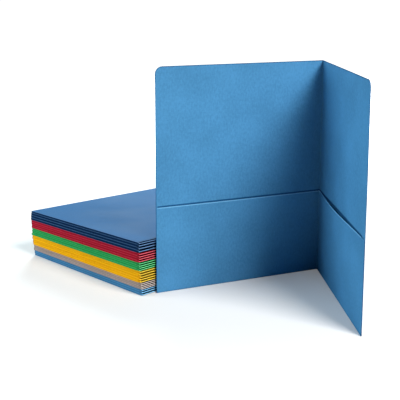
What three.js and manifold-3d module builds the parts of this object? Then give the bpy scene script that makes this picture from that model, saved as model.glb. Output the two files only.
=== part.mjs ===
// Set of two-pocket folders: a pile of closed folders, and one more that stands open beside it.
// Each folder is one sheet of card, scored down the middle for the spine. Its bottom flap is folded up
// inside and glued along the outer edge, which makes one pocket on each leaf.
// Millimetres, +Z up. A closed folder lies with its spine towards +X and its pocket end towards -Y.

import * as THREE from 'three';
import { mergeVertices } from 'three/addons/utils/BufferGeometryUtils.js';
import Module from 'manifold-3d';

const wasm = await Module();
wasm.setup();

// One folder
const foldedWidth = 241.3;
const foldedHeight = 292.1;
const foldedThickness = 2.66;
const card = 0.4;
const cornerRadius = 9.5;
const pocketHeight = 113;
const pocketClearance = 0.3;
const glueWidth = 5;
const lipHeight = 3;
const swingClearance = 0.15;
const seatClearance = 0.3;

// The pile, whose spine and pocket sides spring open more than the other two
const airGap = 0.3;
const outerDrop = 0.19;
const topDrop = 0.24;
const strayAcross = 0.35;
const strayAlong = 0.3;
const strayTurn = 0.12;

// The folder that stands open, placed by the foot of its left leaf's outer edge, and how far off the
// leaves its pockets gape
const standGap = 2.6;
const standAlong = 25.7;
const standTurn = 20.2;
const openAngle = 70.6;
const leftMouth = 0.6;
const rightMouth = 3.5;
const bowSkew = 0.87;

// Lots of folders from the floor up: how far each has slid along the pile, and how thick its
// folders lie there compared with a plain folder
const lots = [
  { name: 'light_blue', count: 3, colour: 0x5b96cc, slid: 4.4, fullness: 1 },
  { name: 'grey', count: 4, colour: 0xa59691, slid: 2.9, fullness: 0.74 },
  { name: 'yellow', count: 5, colour: 0xf5b915, slid: 1.3, fullness: 1.1 },
  { name: 'green', count: 4, colour: 0x2fa056, slid: 0.3, fullness: 0.94 },
  { name: 'red', count: 4, colour: 0xbe1e37, slid: 0, fullness: 1.09 },
  { name: 'navy', count: 4, colour: 0x123a5e, slid: 0, fullness: 1.29 },
];
// The top folder lies at its plain thickness, so that its spine is round and its cover swings clear
const topFolder = 'navy_4';
const standingColour = 0x5b96cc;

const foldRadius = (2 * card + pocketClearance) / 2;
const spineRadius = foldedThickness / 2;
const leafStart = -foldedWidth;

// A front leaf swings round the spine's bend, so each of its layers ends clear of the bend's outside
const swingRadius = spineRadius + swingClearance;
const panelReach = Math.acos((spineRadius - card) / swingRadius);
const flapReach = Math.acos((spineRadius - 2 * foldRadius) / swingRadius);
const frontEnd = -spineRadius - swingRadius * Math.sin(panelReach);
const flapEnd = -spineRadius - swingRadius * Math.sin(flapReach);

const alongX = new THREE.Vector3(1, 0, 0);
const alongY = new THREE.Vector3(0, 1, 0);
const alongZ = new THREE.Vector3(0, 0, 1);

// Solids

function toSolid(geometry) {
  const bare = geometry.clone();
  bare.deleteAttribute('normal');
  bare.deleteAttribute('uv');
  const merged = mergeVertices(bare);
  const vertProperties = merged.attributes.position.array;
  const triVerts = new Uint32Array(merged.index.array);
  return new wasm.Manifold(new wasm.Mesh({ numProp: 3, vertProperties, triVerts }));
}

function joined(geometries) {
  const solid = geometries.map(toSolid).reduce((whole, next) => whole.add(next));
  const mesh = solid.getMesh();
  const geometry = new THREE.BufferGeometry();
  geometry.setAttribute('position', new THREE.BufferAttribute(mesh.vertProperties, 3));
  geometry.setIndex(new THREE.BufferAttribute(mesh.triVerts, 1));
  return geometry;
}

function extruded(shape, depth, curveSegments) {
  return new THREE.ExtrudeGeometry(shape, { depth, curveSegments, bevelEnabled: false });
}

// A section drawn in Y and Z, run along X
function runAlongX(shape, from, to, curveSegments) {
  const geometry = extruded(shape, to - from, curveSegments);
  geometry.applyMatrix4(new THREE.Matrix4().makeBasis(alongY, alongZ, alongX));
  return geometry.translate(from, 0, 0);
}

// A section drawn in X and Z, run along Y
function runAlongY(shape, from, to, curveSegments) {
  const geometry = extruded(shape, to - from, curveSegments);
  geometry.applyMatrix4(new THREE.Matrix4().makeBasis(alongX, alongZ, alongY.clone().negate()));
  return geometry.translate(0, to, 0);
}

function box(x0, x1, y0, y1, z0, z1) {
  const geometry = new THREE.BoxGeometry(x1 - x0, y1 - y0, z1 - z0);
  return geometry.translate((x0 + x1) / 2, (y0 + y1) / 2, (z0 + z1) / 2);
}

// The front leaf is the back leaf turned over in the folder's thickness
function turnedOver(geometry) {
  geometry.scale(1, 1, -1).translate(0, 0, foldedThickness);
  const corners = geometry.index.array;
  for (let i = 0; i < corners.length; i += 3) {
    const second = corners[i + 1];
    corners[i + 1] = corners[i + 2];
    corners[i + 2] = second;
  }
  return geometry;
}

// A closed sheet between two faces, where place(u, v, side) gives a point of face 0 or 1
function sheetBetween(columns, rows, place) {
  const points = [];
  const corners = [];
  const at = (i, j, side) => (side * (rows + 1) + j) * (columns + 1) + i;
  for (let side = 0; side < 2; side += 1) {
    for (let j = 0; j <= rows; j += 1) {
      for (let i = 0; i <= columns; i += 1) {
        points.push(...place(i / columns, j / rows, side));
      }
    }
  }
  const quad = (a, b, c, d) => corners.push(a, b, c, a, c, d);
  for (let j = 0; j < rows; j += 1) {
    for (let i = 0; i < columns; i += 1) {
      quad(at(i, j, 0), at(i, j + 1, 0), at(i + 1, j + 1, 0), at(i + 1, j, 0));
      quad(at(i, j, 1), at(i + 1, j, 1), at(i + 1, j + 1, 1), at(i, j + 1, 1));
    }
  }
  for (let i = 0; i < columns; i += 1) {
    quad(at(i, 0, 0), at(i + 1, 0, 0), at(i + 1, 0, 1), at(i, 0, 1));
    quad(at(i, rows, 0), at(i, rows, 1), at(i + 1, rows, 1), at(i + 1, rows, 0));
  }
  for (let j = 0; j < rows; j += 1) {
    quad(at(0, j, 0), at(0, j, 1), at(0, j + 1, 1), at(0, j + 1, 0));
    quad(at(columns, j, 0), at(columns, j + 1, 0), at(columns, j + 1, 1), at(columns, j, 1));
  }
  const geometry = new THREE.BufferGeometry();
  geometry.setAttribute('position', new THREE.Float32BufferAttribute(points, 3));
  geometry.setIndex(corners);
  return geometry;
}

// Parts of a leaf, lying with its outer face on Z = 0 and its spine on X = 0

// The leaf's panel, square at the fold and rounded at the outer top corner
function leafPanel(end) {
  const outline = new THREE.Shape();
  outline.moveTo(leafStart, foldRadius);
  outline.lineTo(end, foldRadius);
  outline.lineTo(end, foldedHeight);
  outline.lineTo(leafStart + cornerRadius, foldedHeight);
  outline.absarc(leafStart + cornerRadius, foldedHeight - cornerRadius, cornerRadius, Math.PI / 2, Math.PI);
  outline.closePath();
  return extruded(outline, card, 4);
}

// The flap: round the bottom fold and up inside the leaf to the height given
function foldedFlap(height) {
  const section = new THREE.Shape();
  section.moveTo(foldRadius + lipHeight, 0);
  section.lineTo(foldRadius, 0);
  section.absarc(foldRadius, foldRadius, foldRadius, -Math.PI / 2, Math.PI / 2, true);
  section.lineTo(height, 2 * foldRadius);
  section.lineTo(height, 2 * foldRadius - card);
  section.lineTo(foldRadius, 2 * foldRadius - card);
  section.absarc(foldRadius, foldRadius, foldRadius - card, Math.PI / 2, -Math.PI / 2, false);
  section.lineTo(foldRadius + lipHeight, card);
  section.closePath();
  return runAlongX(section, leafStart, flapEnd, 3);
}

// The strip at the outer edge where the flap is glued to the leaf
function gluedStrip() {
  return box(leafStart, leafStart + glueWidth, foldRadius, pocketHeight, card / 2, 2 * foldRadius);
}

// The rounded spine, bent from the back leaf's edge through the angle given
function spineBend(angle) {
  const first = -Math.PI / 2;
  const last = first + angle;
  const inner = spineRadius - card;
  const section = new THREE.Shape();
  section.moveTo(flapEnd, 0);
  section.lineTo(-spineRadius, 0);
  section.absarc(-spineRadius, spineRadius, spineRadius, first, last, false);
  section.lineTo(inner * Math.cos(last) - spineRadius, inner * Math.sin(last) + spineRadius);
  section.absarc(-spineRadius, spineRadius, inner, last, first, true);
  section.lineTo(flapEnd, card);
  section.closePath();
  return runAlongY(section, foldRadius, foldedHeight, 4);
}

function backLeaf(flapHeight, spineAngle) {
  return joined([leafPanel(-spineRadius), foldedFlap(flapHeight), gluedStrip(), spineBend(spineAngle)]);
}

function frontLeaf(flapHeight) {
  return turnedOver(joined([leafPanel(frontEnd), foldedFlap(flapHeight), gluedStrip()]));
}

// The loose panel of an open folder's pocket, whose mouth stands off the leaf by the gap given
function pocketPanel(mouth) {
  const outer = leafStart + glueWidth + seatClearance;
  const bottom = foldRadius + lipHeight + seatClearance;
  return sheetBetween(24, 8, (u, v, side) => {
    const bow = Math.sin(Math.PI * (1 - u) ** bowSkew) ** 2;
    const x = outer + u * (flapEnd - outer);
    const y = bottom + v * (pocketHeight - bottom);
    const z = card + pocketClearance + mouth * bow * v + side * card;
    return [x, y, z];
  });
}

// The pile

// Height that a plain folder adds to the pile at a place on it
function pitchAt(x, y) {
  return foldedThickness + airGap + (outerDrop * x) / foldedWidth - (topDrop * y) / foldedHeight;
}

// Lays a leaf on the folders below it, which together are as thick as rise plain folders
function laidOnPile(geometry, rise, fullness) {
  const laid = geometry.clone();
  const points = laid.attributes.position;
  for (let i = 0; i < points.count; i += 1) {
    const pitch = pitchAt(points.getX(i), points.getY(i));
    const squeeze = (fullness * pitch - airGap) / foldedThickness;
    points.setZ(i, rise * pitch + points.getZ(i) * squeeze);
  }
  return laid;
}

function cardMaterial(colour) {
  return new THREE.MeshStandardMaterial({ color: colour, roughness: 0.85, metalness: 0 });
}

function named(name, geometry, material) {
  const finished = geometry.clone();
  finished.computeVertexNormals();
  const mesh = new THREE.Mesh(finished, material);
  mesh.name = name;
  return mesh;
}

function closedFolder(name, level, rise, fullness, slid, material, back, front) {
  const folder = new THREE.Group();
  folder.add(named(`${name}_back_leaf`, laidOnPile(back, rise, fullness), material));
  folder.add(named(`${name}_front_leaf`, laidOnPile(front, rise, fullness), material));
  folder.position.set(strayAcross * Math.sin(5 * level), slid + strayAlong * Math.sin(3 * level), 0);
  folder.rotation.z = THREE.MathUtils.degToRad(strayTurn * Math.sin(7 * level));
  return folder;
}

function pile() {
  const group = new THREE.Group();
  const back = backLeaf(pocketHeight, Math.PI);
  const front = frontLeaf(pocketHeight);
  let level = 0;
  let rise = 0;
  for (const lot of lots) {
    const material = cardMaterial(lot.colour);
    for (let i = 1; i <= lot.count; i += 1) {
      const name = `${lot.name}_${i}`;
      const fullness = name === topFolder ? 1 : lot.fullness;
      group.add(closedFolder(name, level, rise, fullness, lot.slid, material, back, front));
      level += 1;
      rise += fullness;
    }
  }
  return group;
}

// The open folder, stood up on its pocket end with its leaves spread

function openFolder() {
  const material = cardMaterial(standingColour);
  const spread = THREE.MathUtils.degToRad(openAngle);
  const turn = THREE.MathUtils.degToRad(standTurn);
  const lip = foldRadius + lipHeight;

  const rightHalf = new THREE.Group();
  rightHalf.add(named('standing_right_leaf', frontLeaf(lip), material));
  rightHalf.add(named('standing_right_pocket', turnedOver(pocketPanel(rightMouth)), material));
  rightHalf.position.set(spineRadius, 0, -spineRadius);
  const hinge = new THREE.Group();
  hinge.add(rightHalf);
  hinge.position.set(-spineRadius, 0, spineRadius);
  hinge.rotation.y = spread;

  const folder = new THREE.Group();
  folder.add(named('standing_left_leaf', backLeaf(lip, Math.PI - spread + panelReach), material));
  folder.add(named('standing_left_pocket', pocketPanel(leftMouth), material));
  folder.add(hinge);

  const toSpine = new THREE.Vector3(Math.sin(turn), Math.cos(turn), 0);
  const inward = toSpine.clone().cross(alongZ);
  folder.quaternion.setFromRotationMatrix(new THREE.Matrix4().makeBasis(toSpine, alongZ, inward));
  folder.position.set(standGap, standAlong, 0).addScaledVector(toSpine, foldedWidth);
  return folder;
}

// The whole set, with the middle of its box over the origin
const set = new THREE.Group();
set.add(pile());
set.add(openFolder());
set.updateMatrixWorld(true);
const middle = new THREE.Box3().setFromObject(set, true).getCenter(new THREE.Vector3());
set.position.set(-middle.x, -middle.y, 0);

export default set;
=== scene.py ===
"""Looks of the set of two-pocket folders: a pile of 24 closed ones and one that stands open.

Every folder is cut as one flat blank of card, and a node tree folds it: up at the pocket end and
round the spine. Metres, +Z up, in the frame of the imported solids.
"""

import math

import bpy
import numpy as np
from bpy.props import FloatProperty, FloatVectorProperty, PointerProperty
from mathutils import Matrix, Vector


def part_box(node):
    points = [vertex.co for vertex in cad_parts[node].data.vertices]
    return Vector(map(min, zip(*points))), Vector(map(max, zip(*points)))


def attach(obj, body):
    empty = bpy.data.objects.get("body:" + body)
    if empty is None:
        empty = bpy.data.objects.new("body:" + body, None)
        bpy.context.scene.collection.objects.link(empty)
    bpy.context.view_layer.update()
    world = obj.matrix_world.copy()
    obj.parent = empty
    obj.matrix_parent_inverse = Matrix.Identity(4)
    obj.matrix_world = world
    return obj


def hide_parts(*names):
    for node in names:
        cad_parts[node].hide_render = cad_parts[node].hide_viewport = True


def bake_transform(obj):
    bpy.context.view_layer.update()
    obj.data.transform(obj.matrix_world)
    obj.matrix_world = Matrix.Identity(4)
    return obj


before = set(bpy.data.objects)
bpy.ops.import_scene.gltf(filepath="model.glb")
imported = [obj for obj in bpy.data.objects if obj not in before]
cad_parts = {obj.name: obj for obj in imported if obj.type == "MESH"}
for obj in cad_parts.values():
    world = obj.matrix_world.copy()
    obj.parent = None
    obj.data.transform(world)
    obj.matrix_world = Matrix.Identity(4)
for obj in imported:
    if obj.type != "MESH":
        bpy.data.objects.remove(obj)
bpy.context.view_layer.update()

bl_info = {
    "name": "Two-pocket folders",
    "version": (1, 0, 0),
    "blender": (4, 5, 0),
    "location": "3D View > Sidebar > Folders",
    "description": "Folds a pile of card folders and one that stands open beside it",
    "category": "Object",
}

MM = 0.001

# Lots of folders from the floor up: name, how many, how far the lot has slid along the pile, and
# how thick its folders lie there compared with a plain folder
LOTS = (
    ("light_blue", 3, 4.4, 1.0),
    ("grey", 4, 2.9, 0.74),
    ("yellow", 5, 1.3, 1.1),
    ("green", 4, 0.3, 0.94),
    ("red", 4, 0.0, 1.09),
    ("navy", 4, 0.0, 1.29),
)
# Dark card shows the sheen of its fibres the most
SHEEN = {"navy": 1.0}
# How much painted shade darkens the card beside the spine's fold, in the pile and once opened
SPINE_SHADE = {"piled": 1.0, "opened": 0.15}
# Steps, from one folder to the next, of the waves by which they stray across, along and in turn
STRAY_STEPS = (5, 3, 7)
# Seed of the open folder's wave. A closed folder's seed is its level in the pile.
STANDING_SEED = 40.0
LOWEST = "light_blue_1"
TOP = "navy_4"
TOP_COVER = "navy_4_cover"
STANDING = ("standing_left", "standing_right")


# Sizes and colours


def length(name, description, millimetres):
    """A length in metres, given in millimetres."""
    return FloatProperty(
        name=name, description=description, default=millimetres * MM, unit="LENGTH", precision=5
    )


def angle(name, description, degrees):
    """An angle in radians, given in degrees."""
    return FloatProperty(
        name=name, description=description, default=math.radians(degrees), unit="ROTATION"
    )


def power(name, description, watts):
    """A lamp's power."""
    return FloatProperty(name=name, description=description, default=watts, unit="POWER")


def colour(name, description, red, green, blue):
    """A card colour, given as it shows on a screen, from 0 to 255."""
    return FloatVectorProperty(
        name=name,
        description=description,
        subtype="COLOR",
        size=3,
        min=0,
        max=1,
        default=[to_linear(part / 255) for part in (red, green, blue)],
    )


def to_linear(shown):
    """The light that a screen gives for a colour part from 0 to 1."""
    return shown / 12.92 if shown <= 0.04045 else ((shown + 0.055) / 1.055) ** 2.4


class FolderSizes(bpy.types.PropertyGroup):
    """Sizes of one folder."""

    width: length("Width", "Closed folder, from spine to outer edge", 241.3)
    height: length("Height", "From the pocket end to the top", 292.1)
    thickness: length("Thickness", "Closed folder, as its spine springs open", 2.66)
    card: length("Card", "Thickness of the card", 0.4)
    corner: length("Corner radius", "Round of the two top corners", 9.5)
    pocket: length("Pocket height", "How far the flap comes up inside", 113)
    fold: length("Fold radius", "Half the thickness of the fold at the pocket end", 0.63)
    glue: length("Glued strip", "Width in which the flap is glued to the leaf", 5)
    seam: length("Pocket start", "Where the pocket's loose panel starts above the fold", 3)


class PileSizes(bpy.types.PropertyGroup):
    """How the closed folders lie on one another."""

    pitch: length("Pitch", "Height that a folder adds at the spine and pocket corner", 2.96)
    gap: length("Gap", "Air between two folders", 0.3)
    outer_drop: length("Outer drop", "How much thinner a folder lies at its outer edge", 0.19)
    top_drop: length("Top drop", "How much thinner a folder lies at its top end", 0.24)
    across: length("Stray across", "How far a folder strays across the pile", 0.35)
    along: length("Stray along", "How far a folder strays along the pile", 0.3)
    turn: angle("Stray turn", "How far a folder is turned on the pile", 0.12)
    pinch: FloatProperty(
        name="Pinch", description="How much thinner a closed folder is at its spine", default=0.52
    )
    pinch_width: length("Pinch width", "How far from the spine a folder thins", 9)
    spring: length("Spring", "How far a leaf's loose end waves into its folder", 0.6)


class StandingSizes(bpy.types.PropertyGroup):
    """How the open folder stands beside the pile."""

    gap: length("Gap", "From the pile's spine side to the folder's outer edge", 2.6)
    along: length("Along", "From the pile's pocket end to the folder's outer edge", 25.7)
    turn: angle("Turn", "Of the left leaf, from the pile's long side", 20.2)
    spread: angle("Spread", "Between the two leaves", 70.6)
    left_mouth: length("Left mouth", "How far the left pocket gapes", 0.6)
    right_mouth: length("Right mouth", "How far the right pocket gapes", 3.5)
    skew: FloatProperty(
        name="Mouth skew", description="Moves the widest gape from the middle", default=0.87
    )
    bow: length("Bow", "How far the standing leaves wave", 0.5)
    room: length("Room", "How far the leaves keep from the spine's bend", 0.12)


class CardColours(bpy.types.PropertyGroup):
    """Colours of the card."""

    light_blue: colour("Light blue", "Card of the lowest folders and the open one", 70, 131, 175)
    grey: colour("Grey", "Warm grey card", 170, 151, 145)
    yellow: colour("Yellow", "Yellow card", 255, 179, 8)
    green: colour("Green", "Green card", 43, 155, 81)
    red: colour("Red", "Red card", 166, 23, 46)
    navy: colour("Navy", "Navy card", 5, 40, 75)


class StageSettings(bpy.types.PropertyGroup):
    """Floor, lamps and camera."""

    room: FloatProperty(name="Room light", description="Light from all round", default=0.068)
    key: power("Key lamp", "Large lamp on the right", 95)
    fill: power("Fill lamp", "Soft lamp on the left", 39)
    back: power("Back lamp", "Soft lamp behind", 78)
    floor_lift: FloatProperty(
        name="Floor lift", description="How much whiter the camera sees the floor", default=0.14
    )
    lens: FloatProperty(name="Lens", description="Focal length", default=80, unit="CAMERA")


class FolderSet(bpy.types.PropertyGroup):
    """All settings of the set."""

    folder: PointerProperty(type=FolderSizes)
    pile: PointerProperty(type=PileSizes)
    standing: PointerProperty(type=StandingSizes)
    colours: PointerProperty(type=CardColours)
    stage: PointerProperty(type=StageSettings)


# Nodes


class Value:
    """A node's socket. Python's operators on it add Math nodes."""

    def __init__(self, nodes, socket):
        self.nodes = nodes
        self.socket = socket

    def out(self, name):
        """Another output of the same node."""
        return Value(self.nodes, self.socket.node.outputs[name])

    def math(self, operation, *others):
        """A Math node with this socket as its first value."""
        return self.nodes.math(operation, self, *others)

    def __add__(self, other):
        return self.math("ADD", other)

    def __sub__(self, other):
        return self.math("SUBTRACT", other)

    def __mul__(self, other):
        return self.math("MULTIPLY", other)

    def __truediv__(self, other):
        return self.math("DIVIDE", other)

    def __pow__(self, other):
        return self.math("POWER", other)

    def __rsub__(self, other):
        return self.nodes.math("SUBTRACT", other, self)

    def __rtruediv__(self, other):
        return self.nodes.math("DIVIDE", other, self)

    def __rpow__(self, other):
        return self.nodes.math("POWER", other, self)

    def __neg__(self):
        return self.math("MULTIPLY", -1.0)

    __radd__ = __add__
    __rmul__ = __mul__


class Nodes:
    """A node tree that values and colours are worked out in."""

    def __init__(self, tree):
        self.tree = tree
        self.tree.nodes.clear()

    def add(self, kind, settings=None, sockets=None):
        """Adds a node: its settings first, then the values or links of its sockets."""
        node = self.tree.nodes.new(kind)
        for name, value in (settings or {}).items():
            setattr(node, name, value)
        for key, value in (sockets or {}).items():
            if isinstance(value, Value):
                self.tree.links.new(value.socket, node.inputs[key])
            else:
                node.inputs[key].default_value = value
        return Value(self, node.outputs[0]) if node.outputs else node

    def math(self, operation, *values):
        """A Math node on any mix of sockets and numbers."""
        return self.add("ShaderNodeMath", {"operation": operation}, dict(enumerate(values)))

    def smooth(self, value, start, end):
        """0 at start and 1 at end, with a soft run between them."""
        return self.add(
            "ShaderNodeMapRange",
            {"interpolation_type": "SMOOTHSTEP"},
            {"Value": value, "From Min": start, "From Max": end},
        )

    def mixed(self, factor, first, second):
        """The colour between two colours."""
        made = self.add("ShaderNodeMix", {"data_type": "RGBA"}, {0: factor, 6: first, 7: second})
        return made.out(2)

    def noise(self, vector, scale, detail, seed=0.0):
        """Noise that stays the same on every run."""
        return self.add(
            "ShaderNodeTexNoise",
            {"noise_dimensions": "4D"},
            {"Vector": vector, "W": seed, "Scale": scale, "Detail": detail},
        )


# Card


# Layers of the felt: stretch across and along the blank, scale, detail and seed
FELT = {
    "weft": (0.28, 1.0, 950, 2, 0.0),
    "warp": (1.0, 0.28, 950, 2, 3.0),
    "grain": (1.0, 1.0, 2600, 1, 5.0),
    "streak": (1.0, 0.55, 420, 3, 11.0),
    "cloud": (1.0, 1.0, 16, 3, 7.0),
}
# How much of each layer is in the raised fibres, and in the tone, which runs between two ends
FIBRES = {"weft": 0.4, "warp": 0.4, "grain": 0.2}
TONE_FIBRES, TONE_STREAK, TONE_CLOUD = 0.35, 0.3, 0.35
TONE_ENDS = (0.34, 0.66)
FIBRE_RELIEF = 0.35
FIBRE_HEIGHT = 0.18 * MM

# A mark on the card runs from where it begins to where it is full
CREASE_RUN = (1.1 * MM, 0.5 * MM)
SPINE_SHADE_START = (0.8 * MM, 1.2 * MM)
SPINE_SHADE_END = (5 * MM, 3 * MM)
PANEL_START = (1.2 * MM, 1.8 * MM)
SHOULDER_MIDDLE = 0.6 * MM
SHOULDER_RUN = (0.6 * MM, 0.3 * MM)
HOLLOW_START = (0.1 * MM, -0.4 * MM)
HOLLOW_END = (-2.4 * MM, -1.4 * MM)
FOLD_RUN = (0.9 * MM, 0.2 * MM)
RIM_RUN = (1.2 * MM, 0.7 * MM)
SHADOW_LINE_FOOT = (-1.5 * MM, -0.5 * MM)
SHADOW_LINE_HEAD = (2.6 * MM, 1.4 * MM)
MOUTH_RUN = (1.6 * MM, 0.8 * MM)
LOOSE_RUN = (1 * MM, 4 * MM)
# The right pocket is shut this much further in from its outer edge than the left one
RIGHT_SHUT = 12 * MM

# How strong each mark is. The painted highlights on the folds follow the card's tone, so they have
# a least and a most.
CREASE_HIGHLIGHT = (0.7, 1.0)
SHOULDER_HIGHLIGHT = (0.15, 0.3)
SHOULDER_SHEEN = 0.1
# The hollow is painted shade, the line a painted shadow and the mouth a painted highlight
HOLLOW_SHADE, RIM, SHADOW_LINE, CUT, MOUTH_HIGHLIGHT = 0.2, 0.8, 0.9, 0.8, 0.35

# Roughness of the card, what its tone adds, and what the rubbed crease takes off
ROUGH, ROUGH_TONE, ROUGH_CREASE = 0.62, 0.14, 0.25
SPECULAR, SPECULAR_SHEEN = 0.01, 0.04
SHEEN_ROUGHNESS = 0.3

# The card's two tones as shares of its colour, and a little that keeps the paler one off black
DEEP, PALE, PALE_LIFT = 0.83, 1.13, 0.004
# The dark core at its edges, whose colour also paints shade and shadow, and the painted shade
# beside the crease
CORE_AND_SHADE, SPINE_SHADE_TONE = 0.4, 0.1
# How far the colour of the core and of painted shade, and that of the sheen, are drawn towards the
# card's brightest part
CORE_AND_SHADE_HUE, SHEEN_HUE = 0.5, 0.66
# A painted highlight on a fold has some of the card's colour, of its hue and of white. One that
# would
# # be brighter than white is dimmed by a power.
HIGHLIGHT_CARD, HIGHLIGHT_HUE, HIGHLIGHT_WHITE = 1.9, 0.25, 0.12
HIGHLIGHT_DIMMING = -0.5


def card_shades(shade):
    """Colours that follow from the card's own, each with its alpha."""
    brightest = max(shade)
    tint = [(part / brightest) ** SHEEN_HUE for part in shade]
    # The painted highlight's colour, before one brighter than white is dimmed
    worn = [
        part * HIGHLIGHT_CARD + hue * HIGHLIGHT_HUE + HIGHLIGHT_WHITE for part, hue in zip(shade, tint)
    ]
    gain = max(1.0, max(worn)) ** HIGHLIGHT_DIMMING
    shades = {
        "deep": [part * DEEP for part in shade],
        "pale": [part * PALE + PALE_LIFT for part in shade],
        "core_and_shade": [part * (part / brightest) ** CORE_AND_SHADE_HUE * CORE_AND_SHADE for part in shade],
        "painted_highlight": [part * gain for part in worn],
        "painted_spine_shade": [part * SPINE_SHADE_TONE for part in shade],
        "tint": tint,
    }
    return {name: [min(1.0, part) for part in parts] + [1.0] for name, parts in shades.items()}


def card_material(name, shade, sheen, spine_shade_strength):
    """Felt-finished card: short fibres, soft cloudy colour, and a dark core at the cut edges."""
    material = bpy.data.materials.new(name)
    material.use_nodes = True
    nodes = Nodes(material.node_tree)
    sizes = bpy.context.scene.folder_set.folder
    shades = card_shades(shade)
    core_and_shade, painted_highlight = shades["core_and_shade"], shades["painted_highlight"]
    blank = nodes.add("ShaderNodeAttribute", {"attribute_name": "blank"}).out("Vector")
    cut = nodes.add("ShaderNodeAttribute", {"attribute_name": "cut_edge"}).out("Fac")
    split = nodes.add("ShaderNodeSeparateXYZ", None, {0: blank})
    outside = split.out("Z").math("LESS_THAN", sizes.card / 2)
    on_right = split.out("X").math("GREATER_THAN", 0.0)
    from_spine = split.out("X").math("ABSOLUTE")
    from_side = sizes.width - from_spine
    from_foot = split.out("Y")

    layers = {}
    for layer, (across, along, scale, detail, seed) in FELT.items():
        stretch = {"Vector": blank, "Scale": (across, along, 1.0)}
        place = nodes.add("ShaderNodeMapping", None, stretch)
        layers[layer] = nodes.noise(place, scale, detail, seed)
    fibres = sum(layers[layer] * share for layer, share in FIBRES.items())
    clouds = layers["streak"] * TONE_STREAK + layers["cloud"] * TONE_CLOUD
    tone = nodes.smooth(fibres * TONE_FIBRES + clouds, *TONE_ENDS)
    base = nodes.mixed(tone, shades["deep"], shades["pale"])

    def patchy(least, most):
        """A strength that follows the card's tone."""
        return tone * (most - least) + least

    # The spine's scored fold is smoother and carries a painted highlight, and painted shade lies on
    # the card beside it
    crease = nodes.smooth(from_spine, *CREASE_RUN) * outside
    spine_shade_mask = nodes.smooth(from_spine, *SPINE_SHADE_START) * nodes.smooth(from_spine, *SPINE_SHADE_END)
    spine_shade_mask = spine_shade_mask * outside * nodes.smooth(from_foot, *PANEL_START)
    base = nodes.mixed(crease * patchy(*CREASE_HIGHLIGHT), base, painted_highlight)

    # A painted highlight lies on the shoulder of the fold at the pocket end, and painted shade in
    # the hollow below it
    from_shoulder = (from_foot - SHOULDER_MIDDLE).math("ABSOLUTE")
    shoulder = nodes.smooth(from_shoulder, *SHOULDER_RUN) * outside
    shoulder_highlight_strength = patchy(*SHOULDER_HIGHLIGHT) + SHOULDER_SHEEN * sheen
    base = nodes.mixed(shoulder * shoulder_highlight_strength, base, painted_highlight)
    hollow = nodes.smooth(from_foot, *HOLLOW_START) * nodes.smooth(from_foot, *HOLLOW_END)
    base = nodes.mixed(hollow * outside * HOLLOW_SHADE, base, core_and_shade)

    # The card is darker along its outer and top edges
    side_room = (sizes.corner - from_side).math("MAXIMUM", 0.0)
    top_room = (sizes.corner - (sizes.height - from_foot)).math("MAXIMUM", 0.0)
    inset = sizes.corner - (side_room ** 2.0 + top_room ** 2.0).math("SQRT")
    rim = nodes.smooth(inset, *RIM_RUN)

    # A painted shadow: a dark line on the leaf behind the loose part of the pocket's edge, where
    # the pocket gapes
    loose = nodes.smooth(from_side - on_right * RIGHT_SHUT, *LOOSE_RUN)
    above_pocket = from_foot - sizes.pocket
    painted_shadow_line = nodes.smooth(above_pocket, *SHADOW_LINE_HEAD) * nodes.smooth(above_pocket, *SHADOW_LINE_FOOT)
    painted_shadow_line = painted_shadow_line * (1.0 - outside) * loose
    base = nodes.mixed((rim * RIM + painted_shadow_line * SHADOW_LINE).math("MINIMUM", 1.0), base, core_and_shade)

    # That edge carries a painted highlight, and the other cut edges show the dark core
    mouth = nodes.smooth(from_foot + sizes.pocket, *MOUTH_RUN)
    base = nodes.mixed(cut * CUT * (1.0 - mouth), base, core_and_shade)
    base = nodes.mixed(mouth * loose * MOUTH_HIGHLIGHT, base, painted_highlight)

    finish = {
        "Base Color": base,
        "Roughness": ROUGH + tone * ROUGH_TONE - crease * ROUGH_CREASE,
        "Normal": nodes.add(
            "ShaderNodeBump",
            None,
            {"Strength": FIBRE_RELIEF, "Distance": FIBRE_HEIGHT, "Height": fibres},
        ),
        "Specular IOR Level": SPECULAR,
    }
    sheen_finish = {
        "Specular IOR Level": SPECULAR + sheen * SPECULAR_SHEEN,
        "Sheen Weight": sheen,
        "Sheen Roughness": SHEEN_ROUGHNESS,
        "Sheen Tint": shades["tint"],
    }
    plain = nodes.add("ShaderNodeBsdfPrincipled", None, finish)
    felted = nodes.add("ShaderNodeBsdfPrincipled", None, {**finish, **sheen_finish})
    painted_spine_shade = nodes.add("ShaderNodeBsdfDiffuse", None, {"Color": shades["painted_spine_shade"]})

    # The fibres lie flat where the card is folded over, and painted shade lies beside the crease
    folded_over = nodes.smooth(from_foot, *FOLD_RUN) * outside
    worn = nodes.add("ShaderNodeMixShader", None, {0: folded_over, 1: felted, 2: plain})
    surface = nodes.add("ShaderNodeMixShader", None, {0: spine_shade_mask * spine_shade_strength, 1: worn, 2: painted_spine_shade})
    nodes.add("ShaderNodeOutputMaterial", None, {"Surface": surface})
    return material


def card_of(lot, state):
    """The card of a lot's piled or opened folders, with more or less painted shade, made when first
    asked for.
    """
    name = f"{state}_{lot}_felt_card"
    shade = list(getattr(bpy.context.scene.folder_set.colours, lot))
    return bpy.data.materials.get(name) or card_material(
        name, shade, SHEEN.get(lot, 0.0), SPINE_SHADE[state]
    )


# How many steps round off a corner, and how soon that fades over the leaf
CORNER_STEPS = 7
CORNER_FADE = 6
# Width beside a fold or an edge in which rows and columns lie closer
FINE = 8 * MM


def spaced(*stops):
    """Places from stop to stop, where stops are (place, how many steps lead to it)."""
    places = [stops[0]]
    for stop, steps in stops[1:]:
        places += list(np.linspace(places[-1], stop, steps + 1)[1:])
    return np.array(places)


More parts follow.
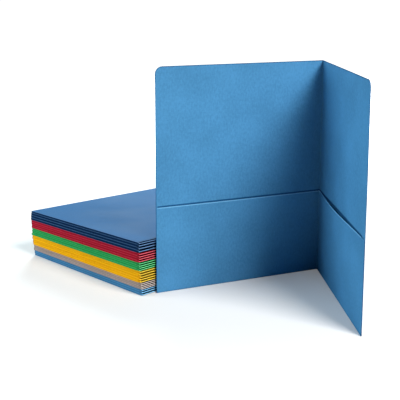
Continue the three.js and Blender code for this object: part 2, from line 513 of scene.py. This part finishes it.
def card_blank(name, across, along, edges, sizes):
    """A flat sheet of card as a closed mesh: across the spine on X, along it on Y, through it on Z.

    edges says whether its first and last column are outer edges, whose top corners are rounded.
    """
    columns, rows = len(across), len(along)
    s, t = np.meshgrid(across, along)
    above = np.clip(t - (sizes.height - sizes.corner), 0, sizes.corner)
    inset = sizes.corner - np.sqrt(sizes.corner**2 - above**2)
    reach = np.abs(across).max()
    span = across.max() - across.min()
    left = np.clip((across.max() - s) / span, 0, 1) if edges[0] else np.zeros_like(s)
    right = np.clip((s - across.min()) / span, 0, 1) if edges[1] else np.zeros_like(s)
    # A column moves less for the corner, the further it lies from the outer edge
    near_left = np.where(s < 0, left * np.abs(s) / reach, 0)
    near_right = np.where(s > 0, right * np.abs(s) / reach, 0)
    s = s + inset * near_left**CORNER_FADE - inset * near_right**CORNER_FADE

    flat = np.stack([s, t], -1).reshape(-1, 2)
    points = np.concatenate(
        [np.column_stack([flat, np.full(len(flat), z)]) for z in (0.0, sizes.card)]
    )

    def at(i, j, side):
        return (side * rows + j) * columns + i

    faces, cut = [], []
    for j in range(rows - 1):
        for i in range(columns - 1):
            faces.append((at(i, j, 0), at(i, j + 1, 0), at(i + 1, j + 1, 0), at(i + 1, j, 0)))
            faces.append((at(i, j, 1), at(i + 1, j, 1), at(i + 1, j + 1, 1), at(i, j + 1, 1)))
            cut += [0.0, 0.0]
    end, top = columns - 1, rows - 1
    for i in range(end):
        faces.append((at(i, 0, 0), at(i + 1, 0, 0), at(i + 1, 0, 1), at(i, 0, 1)))
        faces.append((at(i, top, 0), at(i, top, 1), at(i + 1, top, 1), at(i + 1, top, 0)))
        cut += [1.0, 1.0]
    for j in range(top):
        faces.append((at(0, j, 0), at(0, j, 1), at(0, j + 1, 1), at(0, j + 1, 0)))
        faces.append((at(end, j, 0), at(end, j + 1, 0), at(end, j + 1, 1), at(end, j, 1)))
        cut += [1.0, 1.0]

    mesh = bpy.data.meshes.new(name)
    mesh.from_pydata(points.tolist(), [], faces)
    mesh.attributes.new("blank", "FLOAT_VECTOR", "POINT").data.foreach_set("vector", points.ravel())
    mesh.attributes.new("cut_edge", "FLOAT", "FACE").data.foreach_set("value", cut)
    return mesh


class Layout:
    """Where the parts of a blank lie: the spine's strip, the fold and the flap."""

    def __init__(self, sizes, bend):
        self.bend = bend
        self.spine_radius = sizes.thickness / 2
        self.strip = bend * (self.spine_radius - sizes.card / 2) / 2
        self.leaf = sizes.width - self.spine_radius
        self.fold_length = math.pi * (sizes.fold - sizes.card / 2)
        self.flap_start = sizes.fold - self.fold_length
        self.seam = self.flap_start - (sizes.seam - sizes.fold)
        self.flap_end = self.flap_start - (sizes.pocket - sizes.fold)
        self.sizes = sizes

    def across_leaf(self, side, steps, room=0.0):
        """Columns of one leaf, from its outer edge or to it, as side is -1 or 1.

        room is how far the leaf keeps from the strip that is bent round the spine.
        """
        edge = self.strip + self.leaf
        glue = edge - self.sizes.glue
        start, free = self.strip + FINE, glue - FINE
        places = spaced(self.strip + room, (start, 5), (free, steps), (glue, 3), (edge, 3))
        return places if side > 0 else -places[::-1]

    def across_spine(self, steps, room=0.0):
        """Columns of the strip that is bent round the spine, and of the room beside it."""
        return spaced(-self.strip - room, (self.strip + room, steps))

    def along_leaf(self, steps, fold_steps):
        """Rows of a leaf and its fold, up to the seam on the flap."""
        fold, height, corner = self.sizes.fold, self.sizes.height, self.sizes.corner
        straight = spaced(
            self.seam,
            (self.flap_start, 2),
            (fold, fold_steps),
            (fold + FINE, 2),
            (height - corner, steps),
        )
        round_off = np.sin(np.linspace(0, math.pi / 2, CORNER_STEPS + 1))[1:] * corner
        return np.concatenate([straight, height - corner + round_off])

    def along_flap(self, steps):
        """Rows of the flap, from its free edge down to the seam."""
        return spaced(self.flap_end, (self.seam - FINE, steps), (self.seam, 2))


# Folding


# Over how much of its height the flap comes down to the glued strip, over how much beside it, and
# the room that stays under it
GLUE_HEIGHT = (0.5 * MM, 8 * MM)
GLUE_RUN = 7 * MM
GLUE_ROOM = 0.02 * MM
# The leaves wave above the fold, from one height to the other, in pocket heights
WAVE_START, WAVE_FULL = 0.6, 2.0
WAVE_SCALE = 9.0
WAVE_ENDS = (0.25, 0.75)
# How near the spine's fold the pinch is full, and how high the fold sits, in spine radii
PINCH_FULL = -0.3 * MM
SPINE_LEVEL = 1.3
# Edges that turn more than this stay sharp
SHARP = math.radians(38)

FOLD_INPUTS = {
    "Card": 0.0,
    "Fold radius": 0.0,
    "Fold length": 0.0,
    "Squareness": 0.6,
    "Spine radius": 0.0,
    "Spine strip": 0.0,
    "Bend": 0.0,
    "Pinch": 0.0,
    "Pinch width": 1.0,
    "Leaf": 0.0,
    "Pocket": 0.0,
    "Glue": 0.0,
    "Left mouth": 0.0,
    "Right mouth": 0.0,
    "Mouth skew": 1.0,
    "Wave": 0.0,
    "Seed": 0.0,
    "Thickness": 0.0,
    "Rise": 0.0,
    "Fullness": 1.0,
    "Pitch": 0.0,
    "Gap": 0.0,
    "Outer drop": 0.0,
    "Top drop": 0.0,
    "Width": 1.0,
    "Height": 1.0,
}


def folding_tree():
    """The node tree that folds a flat blank and lays it in its place."""
    name = "Fold card"
    if name in bpy.data.node_groups:
        return bpy.data.node_groups[name]
    tree = bpy.data.node_groups.new(name, "GeometryNodeTree")
    tree.interface.new_socket("Geometry", in_out="OUTPUT", socket_type="NodeSocketGeometry")
    tree.interface.new_socket("Geometry", in_out="INPUT", socket_type="NodeSocketGeometry")
    for key, value in FOLD_INPUTS.items():
        socket = tree.interface.new_socket(key, in_out="INPUT", socket_type="NodeSocketFloat")
        socket.default_value = value
    tree.interface.new_socket("Place", in_out="INPUT", socket_type="NodeSocketVector")
    tree.interface.new_socket("Turn", in_out="INPUT", socket_type="NodeSocketVector")
    tree.interface.new_socket("Material", in_out="INPUT", socket_type="NodeSocketMaterial")

    nodes = Nodes(tree)
    given = nodes.add("NodeGroupInput")
    fold = given.out("Fold radius")
    spine = given.out("Spine radius")
    strip = given.out("Spine strip")
    square = given.out("Squareness")

    position = nodes.add("GeometryNodeInputPosition")
    flat = nodes.add("ShaderNodeSeparateXYZ", None, {0: position})
    s, t, through = flat.out("X"), flat.out("Y"), flat.out("Z")

    # Up round the fold at the pocket end, and up inside the leaf
    fold_length = given.out("Fold length")
    turned = ((fold - t) / fold_length).math("MAXIMUM", 0.0).math("MINIMUM", 1.0) * math.pi
    sine = turned.math("SINE").math("ABSOLUTE") ** square
    cosine = turned.math("COSINE")
    cosine = cosine.math("SIGN") * (cosine.math("ABSOLUTE") ** square)
    panel = (t - fold).math("MAXIMUM", 0.0)
    flap = (fold - fold_length - t).math("MAXIMUM", 0.0)
    y = fold - (fold - through) * sine + panel + flap
    inward = fold - (fold - through) * cosine

    # The pocket's loose panel stands off the leaf, and is glued down at the outer edge
    side = s.math("ABSOLUTE")
    share = ((side - strip) / (given.out("Leaf") - given.out("Glue"))).math("MAXIMUM", 0.0)
    share = share.math("MINIMUM", 1.0)
    gape = (share ** given.out("Mouth skew") * math.pi).math("SINE") ** 2.0
    on_right = s.math("GREATER_THAN", 0.0)
    mouth = given.out("Left mouth") * (1.0 - on_right) + given.out("Right mouth") * on_right
    inward = inward + mouth * gape * (flap / given.out("Pocket"))
    to_edge = strip + given.out("Leaf") - side
    glued = nodes.smooth(to_edge, given.out("Glue") + GLUE_RUN, given.out("Glue"))
    glued = glued * nodes.smooth(flap, *GLUE_HEIGHT)
    inward = inward - glued * (fold * 2.0 - given.out("Card") * 2.0 - GLUE_ROOM)

    # Card is never quite flat: the loose ends of the leaves wave a little
    pocket = given.out("Pocket")
    loose = nodes.smooth(panel, pocket * WAVE_START, pocket * WAVE_FULL)
    sheet_place = nodes.add("ShaderNodeCombineXYZ", None, {0: s, 1: t})
    wave = nodes.noise(sheet_place, WAVE_SCALE, 1.0, given.out("Seed"))
    inward = inward + given.out("Wave") * loose * nodes.smooth(wave, *WAVE_ENDS)

    # Round the spine
    bend = given.out("Bend")
    around = ((s + strip) / (strip * 2.0)).math("MAXIMUM", 0.0).math("MINIMUM", 1.0) * bend
    left = (-strip - s).math("MAXIMUM", 0.0)
    right = (s - strip).math("MAXIMUM", 0.0)
    radius = spine - inward
    x = radius * around.math("SINE") - spine - left + right * bend.math("COSINE")
    z = spine - radius * around.math("COSINE") + right * bend.math("SINE")

    # The leaves close up towards the spine, whose fold sits high
    closing = nodes.smooth(x, -given.out("Pinch width"), PINCH_FULL) * given.out("Pinch")
    fold_level = spine * SPINE_LEVEL
    z = fold_level + (z - fold_level) * (1.0 - closing)

    # On top of the folders below it
    pitch = given.out("Pitch") + given.out("Outer drop") * x / given.out("Width")
    pitch = pitch - given.out("Top drop") * y / given.out("Height")
    squeeze = (given.out("Fullness") * pitch - given.out("Gap")) / given.out("Thickness")
    z = given.out("Rise") * pitch + z * squeeze

    folded = nodes.add("ShaderNodeCombineXYZ", None, {0: x, 1: y, 2: z})
    shape = nodes.add(
        "GeometryNodeSetPosition", None, {"Geometry": given.out("Geometry"), "Position": folded}
    )
    shape = nodes.add(
        "GeometryNodeTransform",
        None,
        {"Geometry": shape, "Translation": given.out("Place"), "Rotation": given.out("Turn")},
    )
    shape = nodes.add("GeometryNodeRealizeInstances", None, {"Geometry": shape})
    shape = nodes.add(
        "GeometryNodeSetMaterial", None, {"Geometry": shape, "Material": given.out("Material")}
    )
    nodes.add("NodeGroupOutput", None, {"Geometry": shape})
    return tree


def folded(name, blank, lot, values):
    """Folds a blank with the node tree and gives the plain mesh as an object."""
    tree = folding_tree()
    piece = bpy.data.objects.new(name, blank)
    bpy.context.scene.collection.objects.link(piece)
    modifier = piece.modifiers.new("Fold", "NODES")
    modifier.node_group = tree
    sockets = {
        item.name: item.identifier
        for item in tree.interface.items_tree
        if item.in_out == "INPUT"
    }
    for key, value in values.items():
        modifier[sockets[key]] = value
    state = "opened" if name.startswith("standing") else "piled"
    modifier[sockets["Material"]] = card_of(lot, state)
    bpy.context.view_layer.update()
    graph = bpy.context.evaluated_depsgraph_get()
    mesh = bpy.data.meshes.new_from_object(
        piece.evaluated_get(graph), preserve_all_data_layers=True, depsgraph=graph
    )
    piece.modifiers.clear()
    piece.data = mesh
    mesh.name = name
    mesh.polygons.foreach_set("use_smooth", [True] * len(mesh.polygons))
    mesh.set_sharp_from_angle(angle=SHARP)
    lot + "_card"
    return piece


def fold_values(layout):
    """Inputs of the node tree that come from the folder's own sizes."""
    sizes = layout.sizes
    return {
        "Card": sizes.card,
        "Fold radius": sizes.fold,
        "Fold length": layout.fold_length,
        "Spine radius": layout.spine_radius,
        "Spine strip": layout.strip,
        "Bend": layout.bend,
        "Leaf": layout.leaf,
        "Pocket": sizes.pocket,
        "Glue": sizes.glue,
        "Thickness": sizes.thickness,
        "Width": sizes.width,
        "Height": sizes.height,
    }


# The pile


def pile_origin():
    """The foot of the pile's spine and pocket corner, read from the lowest folder's solid."""
    low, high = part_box(LOWEST + "_back_leaf")
    return Vector((high.x, low.y - LOTS[0][2] * MM, 0.0))


def pile_values(layout, level, rise, fullness, slid):
    """Inputs that lay a folder at its level of the pile, on folders as thick as rise plain ones."""
    pile = bpy.context.scene.folder_set.pile
    values = fold_values(layout)
    across, along, turn = (math.sin(step * level) for step in STRAY_STEPS)
    stray = Vector((pile.across * across, pile.along * along, 0.0))
    values.update(
        {
            "Pinch": pile.pinch,
            "Pinch width": pile.pinch_width,
            "Wave": pile.spring,
            "Seed": float(level),
            "Rise": rise,
            "Fullness": fullness,
            "Pitch": pile.pitch,
            "Gap": pile.gap,
            "Outer drop": pile.outer_drop,
            "Top drop": pile.top_drop,
            "Place": pile_origin() + stray + Vector((0.0, slid * MM, 0.0)),
            "Turn": (0.0, 0.0, pile.turn * turn),
        }
    )
    return values


def pile_levels():
    """Every closed folder: name, lot, level, rise, fullness and how far it has slid."""
    level, rise = 0, 0.0
    for lot, count, slid, lot_fullness in LOTS:
        for number in range(1, count + 1):
            name = f"{lot}_{number}"
            fullness = 1.0 if name == TOP else lot_fullness
            yield name, lot, level, rise, fullness, slid
            level += 1
            rise += fullness


class FOLDERS_OT_pile(bpy.types.Operator):
    """Folds the closed folders of the pile under the top one"""

    bl_idname = "folders.pile"
    bl_label = "Pile of folders"

    def execute(self, context):
        sizes = context.scene.folder_set.folder
        layout = Layout(sizes, math.pi)
        across = np.concatenate(
            [
                layout.across_leaf(-1, steps=9),
                layout.across_spine(steps=16)[1:-1],
                layout.across_leaf(1, steps=9),
            ]
        )
        leaf = layout.along_leaf(steps=12, fold_steps=8)
        along = np.concatenate([layout.along_flap(steps=5), leaf[1:]])
        for name, lot, *place in pile_levels():
            if name == TOP:
                continue
            blank = card_blank(name, across, along, (True, True), sizes)
            piece = folded(name + "_card", blank, lot, pile_values(layout, *place))
            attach(piece, name)
            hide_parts(name + "_back_leaf", name + "_front_leaf")
        return {"FINISHED"}


class FOLDERS_OT_top_folder(bpy.types.Operator):
    """Folds the top folder, whose cover opens"""

    bl_idname = "folders.top_folder"
    bl_label = "Top folder"

    def execute(self, context):
        sizes = context.scene.folder_set.folder
        layout = Layout(sizes, math.pi)
        name, lot, *place = [row for row in pile_levels() if row[0] == TOP][0]
        values = pile_values(layout, *place)
        leaf = layout.along_leaf(steps=26, fold_steps=10)
        along = np.concatenate([layout.along_flap(steps=8), leaf[1:]])

        across = layout.across_leaf(-1, steps=22)
        back = card_blank(TOP, across, along, (True, False), sizes)
        back = folded(TOP + "_back_leaf_card", back, lot, values)
        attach(back, TOP)
        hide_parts(TOP + "_back_leaf")

        across = layout.across_leaf(1, steps=22)
        cover = card_blank(TOP_COVER, across, along, (False, True), sizes)
        cover = folded(TOP + "_front_leaf_card", cover, lot, values)
        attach(cover, TOP_COVER)
        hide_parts(TOP + "_front_leaf")

        across = layout.across_spine(steps=20)
        spine = card_blank(TOP + "_spine", across, along, (False, False), sizes)
        spine = folded(TOP + "_spine_card", spine, lot, values)
        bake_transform(spine)
        return {"FINISHED"}


# The open folder


class FOLDERS_OT_standing_folder(bpy.types.Operator):
    """Folds the folder that stands open beside the pile"""

    bl_idname = "folders.standing_folder"
    bl_label = "Standing folder"

    def execute(self, context):
        sizes = context.scene.folder_set.folder
        standing = context.scene.folder_set.standing
        layout = Layout(sizes, math.pi - standing.spread)
        to_spine = Vector((math.sin(standing.turn), math.cos(standing.turn), 0.0))
        up = Vector((0.0, 0.0, 1.0))
        inward = to_spine.cross(up)
        turn = Matrix((to_spine, up, inward)).transposed()
        outer_foot = pile_origin() + Vector((standing.gap, standing.along, 0.0))
        place = outer_foot + to_spine * sizes.width

        values = fold_values(layout)
        values.update(
            {
                "Left mouth": standing.left_mouth,
                "Right mouth": standing.right_mouth,
                "Mouth skew": standing.skew,
                "Wave": standing.bow,
                "Seed": STANDING_SEED,
                "Pitch": sizes.thickness,
                "Place": place,
                "Turn": turn.to_euler(),
            }
        )
        leaf_rows = layout.along_leaf(steps=34, fold_steps=12)
        flap_rows = layout.along_flap(steps=24)
        for side, body in zip((-1, 1), STANDING):
            across = layout.across_leaf(side, steps=48, room=standing.room)
            edges = (side < 0, side > 0)
            for part, rows in (("leaf", leaf_rows), ("pocket", flap_rows)):
                blank = card_blank(f"{body}_{part}", across, rows, edges, sizes)
                piece = folded(f"{body}_{part}_card", blank, "light_blue", values)
                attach(piece, body)
                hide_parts(f"{body}_{part}")

        axis = place + turn @ Vector((-layout.spine_radius, 0.0, layout.spine_radius))
        across = layout.across_spine(steps=18, room=standing.room)
        for part, rows, inset in (
            ("leaf", leaf_rows, sizes.card),
            ("pocket", flap_rows, 2 * sizes.fold),
        ):
            blank = card_blank(f"standing_spine_{part}", across, rows, (False, False), sizes)
            piece = folded(f"standing_spine_{part}_card", blank, "light_blue", values)
            radius = max(layout.spine_radius - inset, 0.1 * MM)
            bent = Vector((math.sin(layout.bend), 0.0, -math.cos(layout.bend)))
            end = axis + turn @ (bent * radius)
            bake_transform(piece)
        return {"FINISHED"}


# Floor, light and camera


FLOOR_REACH = 15.0
FLOOR_DEPTH = 0.1 * MM
FLOOR_PAINT = (0.67, 0.67, 0.67, 1.0)
# Far from a point behind the pile the camera sees the floor as white as the room
BEHIND = (-0.1, 0.1, 0.0)
FAR_RUN = (0.3, 1.0)
FAR_LIFT = 0.9
WHITE = (1.0, 1.0, 1.0, 1.0)
ROOM_TINT = (0.3, 0.8, 1.0, 1.0)

# Lamps: name, length of a side, place and tint
LAMPS = (
    ("key", 1.1, (1.93, -0.15, 1.9), (1.0, 0.97, 0.94)),
    ("fill", 1.4, (-1.35, -1.64, 0.80), (0.85, 0.96, 1.0)),
    ("back", 1.2, (-1.4, 1.5, 1.1), (0.86, 0.97, 1.0)),
)
LAMP_TARGET = Vector((0.05, 0.0, 0.12))

CAMERA_PLACE = Vector((0.81020, -0.84266, 0.39784))
CAMERA_HEADING = Vector((-0.70562, 0.70859, 0.0))
CAMERA_DOWN = math.radians(11.2)
CAMERA_ROLL = math.radians(0.31)
CAMERA_SHIFT = (-0.0375, -0.1125)
SENSOR_WIDTH = 36.0


def stage_floor(settings):
    """A white floor that keeps the shadows, and looks a little whiter to the camera."""
    mesh = bpy.data.meshes.new("floor")
    ends = (-FLOOR_REACH, FLOOR_REACH)
    corners = [(x, y, -FLOOR_DEPTH) for x in ends for y in ends]
    mesh.from_pydata(corners, [], [(0, 2, 3, 1)])
    floor = bpy.data.objects.new("floor", mesh)
    bpy.context.scene.collection.objects.link(floor)
    material = bpy.data.materials.new("white_floor")
    material.use_nodes = True
    nodes = Nodes(material.node_tree)
    seen = nodes.add("ShaderNodeLightPath").out("Is Camera Ray")
    place = nodes.add("ShaderNodeTexCoord").out("Object")
    away = nodes.add("ShaderNodeVectorMath", {"operation": "DISTANCE"}, {0: place, 1: BEHIND})
    far = nodes.smooth(away.out("Value"), *FAR_RUN)
    strength = seen * (far * FAR_LIFT + settings.floor_lift)
    lift = nodes.add("ShaderNodeEmission", None, {"Strength": strength})
    paint = nodes.add("ShaderNodeBsdfDiffuse", None, {"Color": FLOOR_PAINT})
    both = nodes.add("ShaderNodeAddShader", None, {0: lift, 1: paint})
    nodes.add("ShaderNodeOutputMaterial", None, {"Surface": both})
    mesh.materials.append(material)


def room_light(settings):
    """Even light from all round, in front of which the camera sees plain white."""
    world = bpy.data.worlds.new("room")
    bpy.context.scene.world = world
    world.use_nodes = True
    nodes = Nodes(world.node_tree)
    ray = nodes.add("ShaderNodeLightPath")
    seen = ray.out("Is Camera Ray").math("MAXIMUM", ray.out("Is Transmission Ray"))
    strength = seen * (1.0 - settings.room) + settings.room
    tint = nodes.mixed(seen, ROOM_TINT, WHITE)
    sky = nodes.add("ShaderNodeBackground", None, {"Color": tint, "Strength": strength})
    nodes.add("ShaderNodeOutputWorld", None, {"Surface": sky})


def lamp(name, watts, side, place, tint):
    """A square soft lamp that points at the set."""
    data = bpy.data.lights.new(name, "AREA")
    data.shape = "SQUARE"
    data.size = side
    data.energy = watts
    data.color = tint
    light = bpy.data.objects.new(name, data)
    light.location = place
    aim = LAMP_TARGET - Vector(place)
    light.rotation_euler = aim.to_track_quat("-Z", "Y").to_euler()
    bpy.context.scene.collection.objects.link(light)


def view_camera(settings):
    """The camera, a little above the pile and in line with the corner of the open folder."""
    forward = CAMERA_HEADING * math.cos(CAMERA_DOWN)
    forward = forward - Vector((0.0, 0.0, math.sin(CAMERA_DOWN)))
    level = Vector((CAMERA_HEADING.y, -CAMERA_HEADING.x, 0.0))
    upright = level.cross(forward)
    right = level * math.cos(CAMERA_ROLL) + upright * math.sin(CAMERA_ROLL)
    up = upright * math.cos(CAMERA_ROLL) - level * math.sin(CAMERA_ROLL)
    data = bpy.data.cameras.new("camera")
    data.lens = settings.lens
    data.sensor_width = SENSOR_WIDTH
    data.shift_x, data.shift_y = CAMERA_SHIFT
    camera = bpy.data.objects.new("camera", data)
    turn = Matrix((right, up, -forward)).transposed().to_4x4()
    camera.matrix_world = Matrix.Translation(CAMERA_PLACE) @ turn
    bpy.context.scene.collection.objects.link(camera)
    bpy.context.scene.camera = camera


class FOLDERS_OT_stage(bpy.types.Operator):
    """Lays the floor and sets up the lamps and the camera"""

    bl_idname = "folders.stage"
    bl_label = "Stage"

    def execute(self, context):
        settings = context.scene.folder_set.stage
        stage_floor(settings)
        room_light(settings)
        for name, side, place, tint in LAMPS:
            lamp(name + "_lamp", getattr(settings, name), side, place, tint)
        view_camera(settings)
        context.scene.view_settings.view_transform = "Standard"
        return {"FINISHED"}


# Panel and registering


class FOLDERS_PT_set(bpy.types.Panel):
    """Lists the pieces of the set"""

    bl_idname = "FOLDERS_PT_set"
    bl_label = "Two-pocket folders"
    bl_space_type = "VIEW_3D"
    bl_region_type = "UI"
    bl_category = "Folders"

    def draw(self, context):
        for operator in OPERATORS:
            self.layout.operator(operator.bl_idname)
        settings = context.scene.folder_set
        for name in ("folder", "pile", "standing", "colours", "stage"):
            group = getattr(settings, name)
            box = self.layout.box()
            for key in group.__annotations__:
                box.prop(group, key)


OPERATORS = (
    FOLDERS_OT_stage,
    FOLDERS_OT_pile,
    FOLDERS_OT_top_folder,
    FOLDERS_OT_standing_folder,
)
SETTINGS = (FolderSizes, PileSizes, StandingSizes, CardColours, StageSettings, FolderSet)


def register():
    for kind in SETTINGS + OPERATORS + (FOLDERS_PT_set,):
        bpy.utils.register_class(kind)
    bpy.types.Scene.folder_set = PointerProperty(type=FolderSet)


def unregister():
    del bpy.types.Scene.folder_set
    for kind in reversed(SETTINGS + OPERATORS + (FOLDERS_PT_set,)):
        bpy.utils.unregister_class(kind)


def main():
    register()
    bpy.ops.folders.stage()
    bpy.ops.folders.pile()
    bpy.ops.folders.top_folder()
    bpy.ops.folders.standing_folder()


if __name__ == "__main__":
    main()
